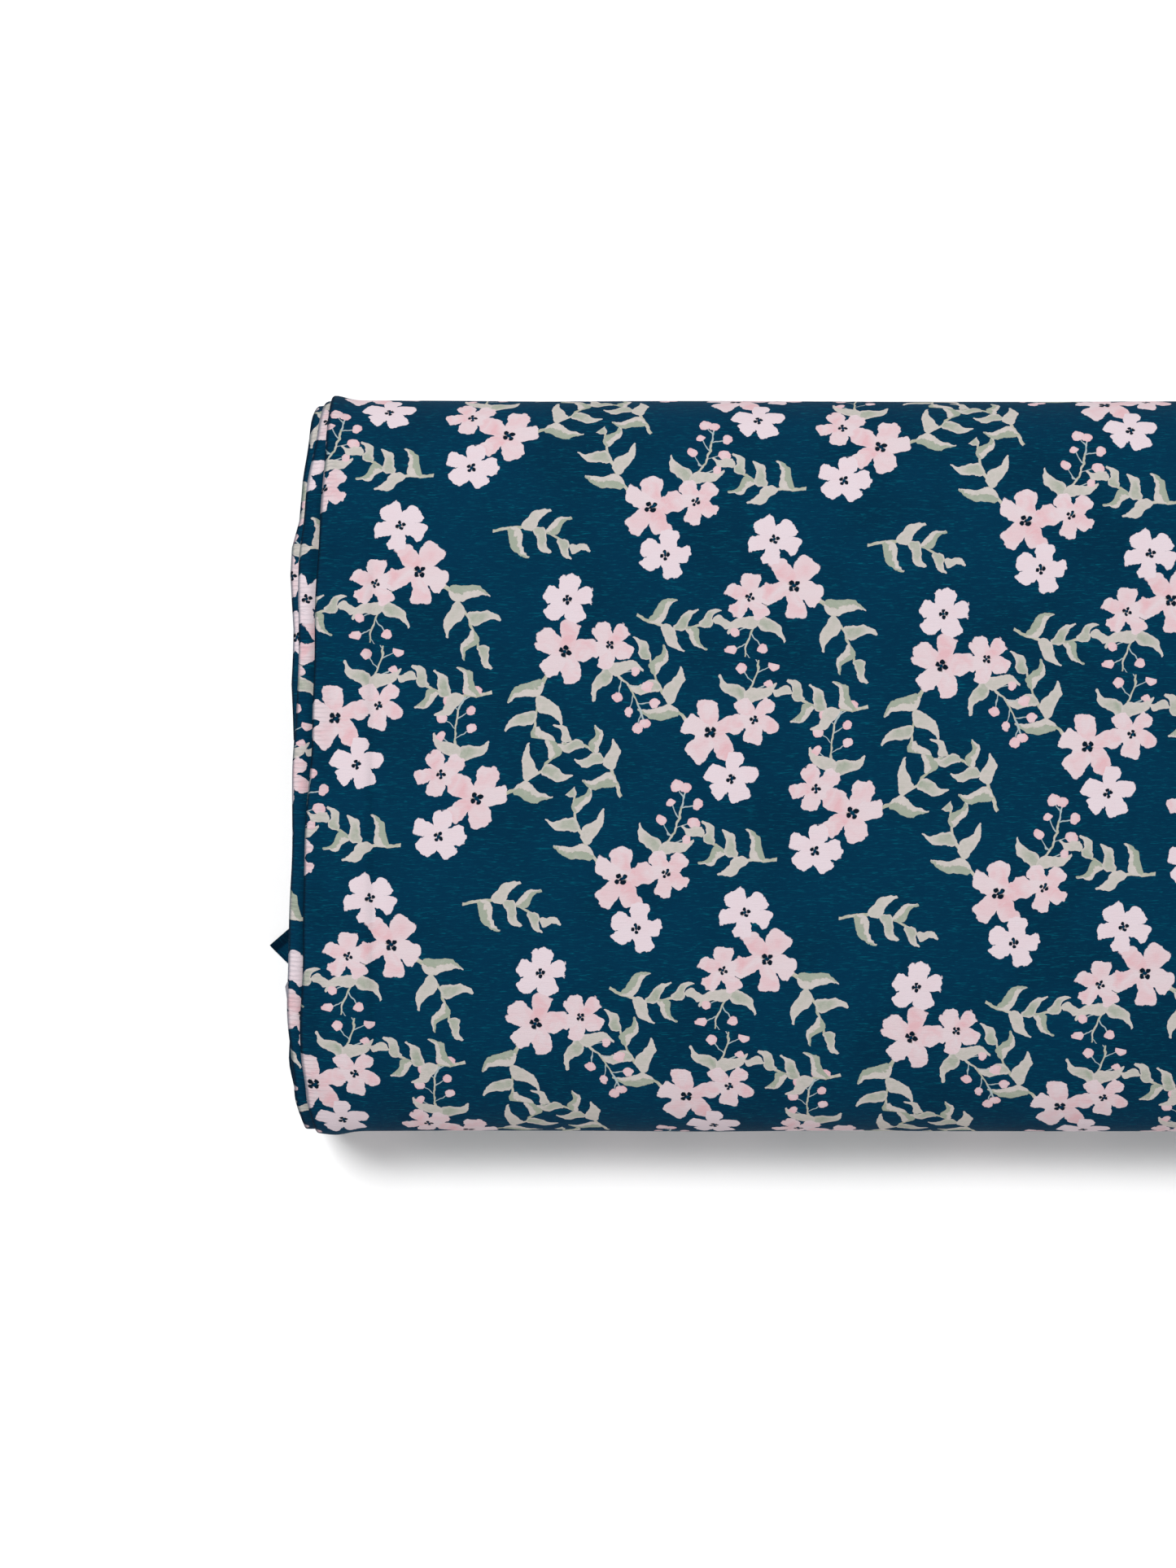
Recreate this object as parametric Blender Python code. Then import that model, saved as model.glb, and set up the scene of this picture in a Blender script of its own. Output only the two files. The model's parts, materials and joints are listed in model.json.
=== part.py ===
"""A bolt of printed cloth, wound on a flat cardboard board.

The cloth is folded in half along its length, with the fold at -X and the two selvages at +X.
It is wound round the board as one long spiral: along the underside towards the front (-Y), up
the front side, over the top, down the rear side and back to the underside. Each full turn of
the spiral is a solid of its own, and its two ends meet those of its neighbours on one line of
the underside. The loose end of the cloth lies under the bolt and hinges on that same line.

Frame: +X along the bolt, +Y to its rear, +Z up, the origin at the middle of the base.
"""

import math

import bpy
import numpy as np

# Driving dimensions, in metres.
BOLT_LENGTH = 0.762
BOLT_HALF_WIDTH = 0.1095
BOLT_HEIGHT = 0.0799
TURNS = 18
CLOTH_FILL = 0.66  # the share of each turn's pitch that its doubled cloth takes up
FIT_GAP = 0.0003  # between pieces that touch

BOARD_LENGTH = 0.724
BOARD_WIDTH = 0.178
BOARD_THICKNESS = 0.016
BOARD_CENTRE_Z = 0.0323
SLEEVE_WALL = 0.0015

# The cloth's last loop: flat below, straight sides, and one full arch over the top.
FLAT_HALF_WIDTH = 0.0795
LOW_CORNER_HEIGHT = 0.028
SIDE_TOP_Z = 0.0389
ARCH_POWER = 2.8

# The cloth's first loop lies close round the board, with room for the tape under it.
FIRST_SIDE_GAP = 0.0004
FIRST_FACE_GAP = 0.0009
FIRST_CORNER = 0.001

# The loose end: the line it hinges on, and how far its cut edge stays from the bolt's front.
HINGE_Y = 0.070
CUT_EDGE_Y = -0.054

# How far each turn's folded end and selvage end stay inside the bolt's length.
FOLD_INSET = 0.0024
SELVAGE_INSET = 0.0020
LAST_FOLD_INSET = 0.0055
TAIL_SELVAGE_INSET = 0.003

STIFFENER_WALL = 0.001
STIFFENER_PLEATS = 7
CAP_WALL = 0.0012
CAP_FLANGE = 0.025
CAP_RECESS = 0.0015
TAPE_LENGTH = 0.060
TAPE_WIDTH = 0.019
TAPE_THICKNESS = 0.0002
TAPE_PLACES = (-0.25, 0.0, 0.25)
LABEL_LENGTH = 0.110
LABEL_HEIGHT = 0.0085
LABEL_THICKNESS = 0.00025

# One turn's stretches, in the order the cloth passes them: the steps that each is drawn in,
# and the share of one pitch by which the spiral grows along it.
STRETCHES = (
    ("underside", 1, 0.0),
    ("front_low_corner", 5, 0.12),
    ("front_side", 1, 0.03),
    ("front_high_corner", 5, 0.13),
    ("top", 8, 0.44),
    ("rear_high_corner", 5, 0.13),
    ("rear_side", 1, 0.03),
    ("rear_low_corner", 5, 0.12),
    ("underside_end", 1, 0.0),
)


def clear_scene():
    for obj in list(bpy.data.objects):
        bpy.data.objects.remove(obj, do_unlink=True)


def new_material(name, colour, roughness):
    material = bpy.data.materials.new(name)
    material.use_nodes = True
    shader = material.node_tree.nodes["Principled BSDF"]
    shader.inputs["Base Color"].default_value = (*colour, 1.0)
    shader.inputs["Roughness"].default_value = roughness
    shader.inputs["Metallic"].default_value = 0.0
    material.diffuse_color = (*colour, 1.0)
    return material


def mix(first, last, share):
    return first + (last - first) * share


def outline_object(name, outline, x_range, material, collection, origin=(0.0, 0.0)):
    """A closed outline of (y, z) points, filled and extruded between two places on X.

    The object's own origin stands at (y, z) = origin, halfway along the piece.
    """
    curve = bpy.data.curves.new(name, "CURVE")
    curve.dimensions = "2D"
    curve.fill_mode = "BOTH"
    curve.extrude = (x_range[1] - x_range[0]) / 2
    spline = curve.splines.new("POLY")
    spline.points.add(len(outline) - 1)
    for point, (y, z) in zip(spline.points, outline):
        point.co = (y - origin[0], z - origin[1], 0.0, 1.0)
    spline.use_cyclic_u = True
    curve.materials.append(material)
    obj = bpy.data.objects.new(name, curve)
    obj.location = ((x_range[0] + x_range[1]) / 2, origin[0], origin[1])
    obj.rotation_euler = (math.pi / 2, 0.0, math.pi / 2)
    collection.objects.link(obj)
    return obj


def strip_outline(path, thickness):
    """The outline of a folded strip: the path of its middle, moved half a thickness each way."""
    path = np.asarray(path, float)
    along = np.diff(path, axis=0)
    along /= np.linalg.norm(along, axis=1)[:, None]
    before = np.vstack([along[:1], along])
    after = np.vstack([along, along[-1:]])
    mitre = before + after
    mitre /= (mitre * before).sum(axis=1)[:, None]
    side = np.column_stack([-mitre[:, 1], mitre[:, 0]]) * thickness / 2
    return np.vstack([path + side, (path - side)[::-1]])


def first_loop(stretch, t, hinge_end):
    """A point (y, z) of the loop that lies on the board, t of the way along one stretch."""
    half_width = BOARD_WIDTH / 2 + FIRST_SIDE_GAP
    half_height = BOARD_THICKNESS / 2 + FIRST_FACE_GAP
    corner = FIRST_CORNER
    flat = half_width - corner
    low = BOARD_CENTRE_Z - half_height
    high = BOARD_CENTRE_Z + half_height
    turn = t * math.pi / 2
    if stretch == "underside":
        return mix(hinge_end, -flat, t), low
    if stretch == "front_low_corner":
        return -flat - corner * math.sin(turn), low + corner * (1 - math.cos(turn))
    if stretch == "front_side":
        return -half_width, mix(low + corner, high - corner, t)
    if stretch == "front_high_corner":
        return -flat - corner * math.cos(turn), high - corner * (1 - math.sin(turn))
    return mix(-flat, flat, t), high


def last_loop(stretch, t, hinge_end):
    """The same point of the outermost loop. Its top is one superellipse from side to side."""
    half_width = BOLT_HALF_WIDTH
    flat = FLAT_HALF_WIDTH
    turn = t * math.pi / 2
    rise = BOLT_HEIGHT - SIDE_TOP_Z
    if stretch == "underside":
        return mix(hinge_end, -flat, t), 0.0
    if stretch == "front_low_corner":
        y = -flat - (half_width - flat) * math.sin(turn)
        return y, LOW_CORNER_HEIGHT * (1 - math.cos(turn))
    if stretch == "front_side":
        return -half_width, mix(LOW_CORNER_HEIGHT, SIDE_TOP_Z, t)
    if stretch == "front_high_corner":
        sweep = t * math.acos((flat / half_width) ** (ARCH_POWER / 2))
        y = -half_width * math.cos(sweep) ** (2 / ARCH_POWER)
        return y, SIDE_TOP_Z + rise * math.sin(sweep) ** (2 / ARCH_POWER)
    y = mix(-flat, flat, t)
    fall = 1 - abs(y / half_width) ** ARCH_POWER
    return y, SIDE_TOP_Z + rise * fall ** (1 / ARCH_POWER)


def loop_point(loop, stretch, t, hinge_y):
    """A point of a loop. The rear stretches are the front ones mirrored and run backwards."""
    half_gap = FIT_GAP / 2
    if stretch == "underside_end":
        y, z = loop("underside", 1 - t, 0.0)
        return mix(-loop("underside", 1.0, 0.0)[0], hinge_y + half_gap, t), z
    if stretch.startswith("rear"):
        y, z = loop(stretch.replace("rear", "front"), 1 - t, 0.0)
        return -y, z
    return loop(stretch, t, hinge_y - half_gap)


def winding_stations():
    """(stretch, place along it, growth so far) of each point of one turn."""
    stations = [(STRETCHES[0][0], 0.0, 0.0)]
    grown = 0.0
    for stretch, steps, growth in STRETCHES:
        for step in range(1, steps + 1):
            stations.append((stretch, step / steps, grown + growth * step / steps))
        grown += growth
    return stations


def winding_face(turn, hinge_y):
    """The (y, z) points of one face of the cloth along a turn, counted in pitches from the board."""
    points = []
    for stretch, t, growth in winding_stations():
        share = (turn + growth) / (TURNS + CLOTH_FILL)
        near = loop_point(first_loop, stretch, t, hinge_y)
        far = loop_point(last_loop, stretch, t, hinge_y)
        points.append((mix(near[0], far[0], share), mix(near[1], far[1], share)))
    return np.array(points)


def turn_outline(turn, hinge_y):
    """The closed outline of one turn of doubled cloth: its outer face, and its inner face back."""
    outer = winding_face(turn + CLOTH_FILL, hinge_y)
    inner = winding_face(turn, hinge_y)
    return np.vstack([outer, inner[::-1]])


def board_shift():
    """How far the board's middle lies from the bolt's, so that the wound cloth is centred on Y."""
    outer = winding_face(TURNS - 1 + CLOTH_FILL, HINGE_Y)
    return -(outer[:, 0].min() + outer[:, 0].max()) / 2


def turn_ends(turn):
    """A turn's two ends on X. The turns aren't laid quite true, so their ends step in and out."""
    fold = FOLD_INSET / 2 * (1 + math.sin(2.4 * turn))
    selvage = SELVAGE_INSET / 2 * (1 + math.sin(1.7 * turn + 1.1))
    if turn == TURNS - 1:
        fold = LAST_FOLD_INSET
    if turn == TURNS - 3:
        fold = 0.0
        selvage = 0.0
    return -BOLT_LENGTH / 2 + fold, BOLT_LENGTH / 2 - selvage


def build_cloth(collection, shift):
    """The turns of cloth, from the board outwards."""
    for turn in range(TURNS):
        shade = 0.9 + 0.1 * (turn % 2)
        material = new_material(f"printed_cloth_{turn + 1:02d}", (0.0, 0.036 * shade, 0.080 * shade), 0.9)
        outline = turn_outline(turn, HINGE_Y - shift) + (shift, 0.0)
        outline_object(f"cloth_turn_{turn + 1:02d}", outline, turn_ends(turn), material, collection)


def build_tail(collection):
    """The loose end: the doubled cloth from the hinge line to its cut edge, on the ground."""
    depth = BOARD_CENTRE_Z - BOARD_THICKNESS / 2 - FIRST_FACE_GAP
    thickness = CLOTH_FILL * depth / (TURNS + CLOTH_FILL)
    near = HINGE_Y - FIT_GAP / 2
    outline = [(near, 0.0), (near, thickness), (CUT_EDGE_Y, thickness), (CUT_EDGE_Y, 0.0)]
    ends = (-BOLT_LENGTH / 2 + LAST_FOLD_INSET, BOLT_LENGTH / 2 - TAIL_SELVAGE_INSET)
    material = new_material("printed_cloth_tail", (0.0, 0.030, 0.068), 0.9)
    outline_object("cloth_tail", outline, ends, material, collection, origin=(HINGE_Y, 0.0))


def build_sleeve(collection, shift):
    """The board's sleeve: one sheet of card folded round, its last panel doubling the top."""
    half_width = (BOARD_WIDTH - SLEEVE_WALL) / 2
    half_height = (BOARD_THICKNESS - SLEEVE_WALL) / 2
    inner_panel_z = half_height - SLEEVE_WALL - FIT_GAP
    inner_panel_end = -half_width + SLEEVE_WALL + FIT_GAP
    path = np.array(
        [
            (half_width + SLEEVE_WALL / 2, half_height),
            (-half_width, half_height),
            (-half_width, -half_height),
            (half_width, -half_height),
            (half_width, inner_panel_z),
            (inner_panel_end, inner_panel_z),
        ]
    )
    outline = strip_outline(path, SLEEVE_WALL) + (shift, BOARD_CENTRE_Z)
    material = new_material("board_card", (0.52, 0.39, 0.25), 0.85)
    ends = (-BOARD_LENGTH / 2, BOARD_LENGTH / 2)
    outline_object("core_sleeve", outline, ends, material, collection)


def sleeve_room():
    """The sleeve's clear inside: its half width, and its floor and ceiling from the board's middle."""
    half_width = BOARD_WIDTH / 2 - SLEEVE_WALL - FIT_GAP
    floor = -BOARD_THICKNESS / 2 + SLEEVE_WALL + FIT_GAP
    ceiling = BOARD_THICKNESS / 2 - 2 * SLEEVE_WALL - 2 * FIT_GAP
    return half_width, floor, ceiling


def build_stiffener(collection, shift):
    """A pleated strip of card that holds the sleeve's two faces apart, between the end caps."""
    half_width, floor, ceiling = sleeve_room()
    low = floor + STIFFENER_WALL / 2
    high = ceiling - STIFFENER_WALL / 2
    half_span = half_width - STIFFENER_WALL
    pleat = 2 * half_span / STIFFENER_PLEATS
    path = []
    for number in range(STIFFENER_PLEATS):
        start = -half_span + number * pleat
        path += [(start, low), (start + 0.3 * pleat, low)]
        path += [(start + 0.5 * pleat, high), (start + 0.8 * pleat, high)]
    outline = strip_outline(path, STIFFENER_WALL) + (shift, BOARD_CENTRE_Z)
    half_length = BOARD_LENGTH / 2 - CAP_RECESS - CAP_FLANGE - 2 * FIT_GAP
    material = new_material("stiffener_card", (0.45, 0.34, 0.22), 0.9)
    outline_object("core_stiffener", outline, (-half_length, half_length), material, collection)


def build_end_cap(name, side, collection, shift):
    """A card channel pushed into one end of the sleeve: its web closes the end."""
    half_width, floor, ceiling = sleeve_room()
    web = BOARD_LENGTH / 2 - CAP_RECESS - CAP_WALL / 2
    tips = BOARD_LENGTH / 2 - CAP_RECESS - CAP_FLANGE
    low = floor + CAP_WALL / 2
    high = ceiling - CAP_WALL / 2
    path = np.array([(tips, low), (web, low), (web, high), (tips, high)]) * (side, 1.0)
    outline = strip_outline(path, CAP_WALL)
    curve = bpy.data.curves.new(name, "CURVE")
    curve.dimensions = "2D"
    curve.fill_mode = "BOTH"
    curve.extrude = half_width
    spline = curve.splines.new("POLY")
    spline.points.add(len(outline) - 1)
    for point, (x, z) in zip(spline.points, outline):
        point.co = (x, z, 0.0, 1.0)
    spline.use_cyclic_u = True
    curve.materials.append(new_material(f"{name}_card", (0.55, 0.43, 0.29), 0.85))
    obj = bpy.data.objects.new(name, curve)
    obj.location = (0.0, shift, BOARD_CENTRE_Z)
    obj.rotation_euler = (math.pi / 2, 0.0, 0.0)
    collection.objects.link(obj)


def build_box(name, centre, size, material, collection):
    bpy.ops.mesh.primitive_cube_add(size=1.0, location=centre)
    obj = bpy.context.active_object
    obj.name = name
    obj.data.name = name
    for vertex in obj.data.vertices:
        vertex.co = [coordinate * side for coordinate, side in zip(vertex.co, size)]
    obj.data.materials.append(material)
    for old in list(obj.users_collection):
        old.objects.unlink(obj)
    collection.objects.link(obj)


def build_tapes(collection, shift):
    """Strips of double-sided tape that hold the cloth's first edge to the board's underside."""
    z = BOARD_CENTRE_Z - BOARD_THICKNESS / 2 - FIT_GAP - TAPE_THICKNESS / 2
    y = HINGE_Y + shift - TAPE_WIDTH
    for number, x in enumerate(TAPE_PLACES, 1):
        name = f"starter_tape_{number}"
        material = new_material(name, (0.80, 0.76, 0.60), 0.5)
        build_box(name, (x, y, z), (TAPE_LENGTH, TAPE_WIDTH, TAPE_THICKNESS), material, collection)


def build_label(collection, shift):
    """A blank paper label on the end cap at the selvage end."""
    half_width, floor, ceiling = sleeve_room()
    x = BOARD_LENGTH / 2 - CAP_RECESS + FIT_GAP + LABEL_THICKNESS / 2
    centre = (x, shift, BOARD_CENTRE_Z + (floor + ceiling) / 2)
    size = (LABEL_THICKNESS, LABEL_LENGTH, LABEL_HEIGHT)
    material = new_material("label_paper", (0.85, 0.84, 0.80), 0.7)
    build_box("end_label", centre, size, material, collection)


def main():
    clear_scene()
    collection = bpy.data.collections.new("fabric_bolt")
    bpy.context.scene.collection.children.link(collection)
    shift = board_shift()
    build_sleeve(collection, shift)
    build_stiffener(collection, shift)
    build_end_cap("core_end_cap_left", -1.0, collection, shift)
    build_end_cap("core_end_cap_right", 1.0, collection, shift)
    build_tapes(collection, shift)
    build_label(collection, shift)
    build_cloth(collection, shift)
    build_tail(collection)


main()
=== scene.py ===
"""The looks of a bolt of printed cloth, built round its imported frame.

The cloth is one long sheet, folded in half with the print outside and wound round a cardboard
board as a flat spiral. Every turn of the spiral is a piece of its own, worked out from the same
formula, so that the cloth, its folded edge and its print run on from piece to piece. The loose
end lies under the bolt. The board keeps its own solids, which get card, tape and paper finishes.

All lengths are in metres unless a name says otherwise. +X runs along the bolt from the fold to
the selvages, +Y to its rear and +Z up.
"""

import functools
import json
import math

import bpy
import numpy as np
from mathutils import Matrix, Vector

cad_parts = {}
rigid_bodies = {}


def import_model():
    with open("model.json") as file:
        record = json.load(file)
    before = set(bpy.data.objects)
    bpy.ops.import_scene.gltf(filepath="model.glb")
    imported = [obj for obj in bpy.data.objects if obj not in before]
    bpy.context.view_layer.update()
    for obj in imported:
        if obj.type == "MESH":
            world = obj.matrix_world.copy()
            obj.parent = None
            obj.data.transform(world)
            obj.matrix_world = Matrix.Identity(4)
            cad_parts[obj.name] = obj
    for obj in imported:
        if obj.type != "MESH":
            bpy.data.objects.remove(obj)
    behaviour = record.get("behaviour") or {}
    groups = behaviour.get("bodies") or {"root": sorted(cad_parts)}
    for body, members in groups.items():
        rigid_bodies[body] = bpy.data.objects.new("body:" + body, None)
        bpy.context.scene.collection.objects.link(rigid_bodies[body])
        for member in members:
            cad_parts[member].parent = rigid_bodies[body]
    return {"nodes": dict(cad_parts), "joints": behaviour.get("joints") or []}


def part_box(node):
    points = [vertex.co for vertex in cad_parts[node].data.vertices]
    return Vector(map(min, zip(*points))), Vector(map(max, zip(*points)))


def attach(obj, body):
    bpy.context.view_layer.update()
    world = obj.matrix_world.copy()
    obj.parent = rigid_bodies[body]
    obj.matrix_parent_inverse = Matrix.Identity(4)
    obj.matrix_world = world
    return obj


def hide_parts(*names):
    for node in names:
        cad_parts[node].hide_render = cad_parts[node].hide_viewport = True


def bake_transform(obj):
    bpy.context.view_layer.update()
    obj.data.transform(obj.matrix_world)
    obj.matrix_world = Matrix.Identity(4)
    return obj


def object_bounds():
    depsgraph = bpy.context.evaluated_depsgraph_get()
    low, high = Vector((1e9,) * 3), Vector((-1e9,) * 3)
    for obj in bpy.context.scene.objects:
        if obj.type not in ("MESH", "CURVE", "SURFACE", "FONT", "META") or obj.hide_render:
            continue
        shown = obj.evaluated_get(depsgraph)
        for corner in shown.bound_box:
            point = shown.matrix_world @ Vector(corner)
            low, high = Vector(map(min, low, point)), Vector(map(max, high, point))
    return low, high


bl_info = {
    "name": "Fabric Bolt",
    "version": (1, 0, 0),
    "blender": (4, 5, 0),
    "location": "3D View > Sidebar > Fabric Bolt",
    "description": "Builds a bolt of printed cloth on its board, turn by turn",
    "category": "Object",
}

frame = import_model()
CAD_BOX = [list(corner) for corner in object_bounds()]
TURN_NODES = sorted(name for name in frame["nodes"] if name.startswith("cloth_turn_"))
TURNS = len(TURN_NODES)
BOARD_LOW, BOARD_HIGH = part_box("core_sleeve")
BOARD_CENTRE = (BOARD_LOW + BOARD_HIGH) / 2
TAIL_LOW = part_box("cloth_tail")[0]
HINGE = frame["joints"][0]["pos_m"]

# The spiral: how its first loop fits the board, and the last loop's flats, corners and arch. The
# last loop lies this many pitches outside the last turn's start.
FILL = 0.66
FIRST_SIDE_GAP = 0.0004
FIRST_FACE_GAP = 0.0009
FIRST_CORNER = 0.001
LAST_HALF_WIDTH = 0.1095
LAST_HEIGHT = 0.0799
FLAT_HALF_WIDTH = 0.0795
LOW_CORNER_HEIGHT = 0.028
SIDE_TOP_Z = 0.0389
ARCH_POWER = 2.8

# One turn's stretches in winding order, each with its share of the turn's growth.
STRETCHES = (
    ("underside", 0.0),
    ("front_low", 0.12),
    ("front_side", 0.03),
    ("front_high", 0.13),
    ("top", 0.44),
    ("rear_high", 0.13),
    ("rear_side", 0.03),
    ("rear_low", 0.12),
    ("underside_end", 0.0),
)
FINE_STEPS = (22, 16, 4, 22, 62, 22, 4, 16, 2)
PLAIN_STEPS = (8, 10, 2, 12, 20, 12, 2, 10, 1)
TAIL_STEPS = 34

# Where the two plies of the doubled cloth lie within one turn's pitch.
PLY_MIDDLE = 0.33
PLY_HALF_GAP = 0.23
FOLD_HALF_GAP = 0.54
FOLD_REACH = 0.0032

MM = 0.001

# The loose end: how much of it bends at the hinge, and how its corner is turned out. The pivot is
# measured from the corner. The turn is whole within the first reach and nothing past the second.
CORNER_TURN = -45
CORNER_PIVOT = (-0.0093, 0.0184)
CORNER_REACH = (0.006, 0.058)

# The stage: the floor lies just under the cloth's lowest point. The camera stands over a place
# this far in from the bolt's left end and this far from its middle, and its frame is this many
# times as high as wide. The light's place and target are measured from under the camera.
FLOOR_Z = -0.0007
VIEW_IN = 0.0856
VIEW_SIDE = -0.0053
SENSOR = 36.0
FRAME_SHAPE = 1.33356
SKY_STRENGTH = 0.55
LIGHT_POWER = 152.0
LIGHT_SIZE = 1.15
LIGHT_PLACE = (-1.15, 1.25, 4.2)
LIGHT_TARGET = (0.05, 0.0, 0.05)


# ---------------------------------------------------------------- settings


class BoltClothSettings(bpy.types.PropertyGroup):
    """Sizes of the wound cloth."""

    width: bpy.props.FloatProperty(
        name="Cloth Width",
        description="The cloth's whole width before folding",
        default=1.5,
        unit="LENGTH",
    )
    thickness: bpy.props.FloatProperty(
        name="Ply Thickness",
        description="Thickness of one ply",
        default=0.00042,
        precision=5,
        unit="LENGTH",
    )
    selvage: bpy.props.FloatProperty(
        name="Selvage", description="Width of the unprinted edge", default=0.011, unit="LENGTH"
    )
    skew: bpy.props.FloatProperty(
        name="Skew",
        description="How far the folded edge turns from the bolt's end across the top",
        default=math.radians(1.98),
        subtype="ANGLE",
    )
    wrinkle: bpy.props.FloatProperty(
        name="Wrinkle Height",
        description="Height of the soft waves",
        default=0.00022,
        precision=5,
        unit="LENGTH",
    )


class BoltPrintSettings(bpy.types.PropertyGroup):
    """Colours and size of the floral print."""

    repeat: bpy.props.FloatProperty(
        name="Repeat", description="Side of the print's square repeat", default=0.1087, unit="LENGTH"
    )
    turn: bpy.props.FloatProperty(
        name="Turn",
        description="Turn of the print on the bolt",
        default=math.radians(2.2),
        subtype="ANGLE",
    )
    ground: bpy.props.FloatVectorProperty(
        name="Ground",
        description="Ground colour",
        default=(0.0, 0.0268, 0.0630),
        size=3,
        subtype="COLOR",
    )
    pink: bpy.props.FloatVectorProperty(
        name="Pink",
        description="Deep petal wash",
        default=(0.620, 0.390, 0.420),
        size=3,
        subtype="COLOR",
    )
    blush: bpy.props.FloatVectorProperty(
        name="Blush",
        description="Pale petal colour",
        default=(0.615, 0.520, 0.548),
        size=3,
        subtype="COLOR",
    )
    white: bpy.props.FloatVectorProperty(
        name="White",
        description="White petal colour",
        default=(0.635, 0.545, 0.585),
        size=3,
        subtype="COLOR",
    )
    green: bpy.props.FloatVectorProperty(
        name="Sage",
        description="Green leaf wash",
        default=(0.290, 0.325, 0.262),
        size=3,
        subtype="COLOR",
    )
    cream: bpy.props.FloatVectorProperty(
        name="Cream",
        description="Pale leaf wash",
        default=(0.525, 0.475, 0.455),
        size=3,
        subtype="COLOR",
    )


class BoltStageSettings(bpy.types.PropertyGroup):
    """The floor and the view."""

    view_height: bpy.props.FloatProperty(
        name="View Height",
        description="The camera's height above the bolt's top",
        default=1.25,
        unit="LENGTH",
    )
    view_width: bpy.props.FloatProperty(
        name="View Width", description="Width seen at the bolt's top", default=0.3414, unit="LENGTH"
    )
    floor_size: bpy.props.FloatProperty(
        name="Floor Size", description="Side of the floor", default=8.0, unit="LENGTH"
    )


# ---------------------------------------------------------------- the spiral


def mix(first, last, share):
    """first + (last - first) share."""
    return first + (last - first) * share


def smooth(low, high, value):
    """0 below low, 1 above high, and the cubic 3t^2 - 2t^3 between them."""
    t = np.clip((value - low) / (high - low), 0.0, 1.0)
    return t * t * (3.0 - 2.0 * t)


def bump(value, centre, width):
    """A bell of height 1 at the centre: exp(-((value - centre) / width)^2)."""
    return np.exp(-(((value - centre) / width) ** 2))


def board_stretch(stretch, t):
    """(y, z) along one front stretch of the loop on the board: a rectangle with small corners."""
    half_width = (BOARD_HIGH.y - BOARD_LOW.y) / 2 + FIRST_SIDE_GAP
    half_height = (BOARD_HIGH.z - BOARD_LOW.z) / 2 + FIRST_FACE_GAP
    flat = half_width - FIRST_CORNER
    low = BOARD_CENTRE.z - half_height
    high = BOARD_CENTRE.z + half_height
    turn = t * math.pi / 2
    if stretch == "front_low":
        return -flat - FIRST_CORNER * np.sin(turn), low + FIRST_CORNER * (1 - np.cos(turn))
    if stretch == "front_side":
        return -half_width + 0 * t, mix(low + FIRST_CORNER, high - FIRST_CORNER, t)
    if stretch == "front_high":
        return -flat - FIRST_CORNER * np.cos(turn), high - FIRST_CORNER * (1 - np.sin(turn))
    if stretch == "top":
        return mix(-flat, flat, t), high + 0 * t
    return -flat * t, low + 0 * t


def last_stretch(stretch, t):
    """(y, z) along one front stretch of the outermost loop, whose top is a superellipse."""
    half_width = LAST_HALF_WIDTH
    flat = FLAT_HALF_WIDTH
    rise = LAST_HEIGHT - SIDE_TOP_Z
    turn = t * math.pi / 2
    if stretch == "front_low":
        return -flat - (half_width - flat) * np.sin(turn), LOW_CORNER_HEIGHT * (1 - np.cos(turn))
    if stretch == "front_side":
        return -half_width + 0 * t, mix(LOW_CORNER_HEIGHT, SIDE_TOP_Z, t)
    if stretch == "front_high":
        sweep = t * math.acos((flat / half_width) ** (ARCH_POWER / 2))
        y = -half_width * np.cos(sweep) ** (2 / ARCH_POWER)
        return y, SIDE_TOP_Z + rise * np.sin(sweep) ** (2 / ARCH_POWER)
    if stretch == "top":
        y = mix(-flat, flat, t)
        fall = 1 - np.abs(y / half_width) ** ARCH_POWER
        return y, SIDE_TOP_Z + rise * fall ** (1 / ARCH_POWER)
    return -flat * t, 0 * t


def loop_line(maker, stretch, t):
    """A stretch of a loop. Rear stretches are front ones mirrored and run backwards, and the
    underside is straight from the hinge line to the flat's end."""
    hinge = HINGE[1] - BOARD_CENTRE.y
    if stretch == "underside":
        end, low = maker("underside", np.ones(1))
        return mix(hinge, end[0], t), low[0] + 0 * t
    if stretch == "underside_end":
        end, low = maker("underside", np.ones(1))
        return mix(-end[0], hinge, t), low[0] + 0 * t
    if stretch.startswith("rear"):
        y, z = maker(stretch.replace("rear", "front"), 1 - t)
        return -y, z
    return maker(stretch, t)


def turn_lines(steps):
    """One turn's stations in winding order: the point on the first loop and on the last loop,
    the growth so far, and how far the station lies on the top (1) or not (0)."""
    near, far, growth, top = [], [], [], []
    grown = 0.0
    for number, ((stretch, share), count) in enumerate(zip(STRETCHES, steps)):
        t = np.linspace(0.0, 1.0, count + 1)[min(number, 1) :]
        near.append(np.column_stack(loop_line(board_stretch, stretch, t)))
        far.append(np.column_stack(loop_line(last_stretch, stretch, t)))
        growth.append(grown + share * t)
        grown += share
        on_top = {"top": 1.0 + 0 * t}
        on_top["front_high"] = smooth(0.2, 1.0, t)
        on_top["rear_high"] = smooth(0.2, 1.0, 1 - t)
        top.append(on_top.get(stretch, 0 * t))
    return np.vstack(near), np.vstack(far), np.concatenate(growth), np.concatenate(top)


def tail_lines(steps):
    """The loose end's stations: along the underside from the hinge line to the cut edge."""
    t = np.linspace(0.0, 1.0, steps + 1)
    y = mix(HINGE[1], TAIL_LOW.y, t) - BOARD_CENTRE.y
    near = np.column_stack([y, np.full(len(t), board_stretch("underside", np.ones(1))[1][0])])
    far = np.column_stack([y, 0 * t])
    return near, far, 0 * t, 0 * t


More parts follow.
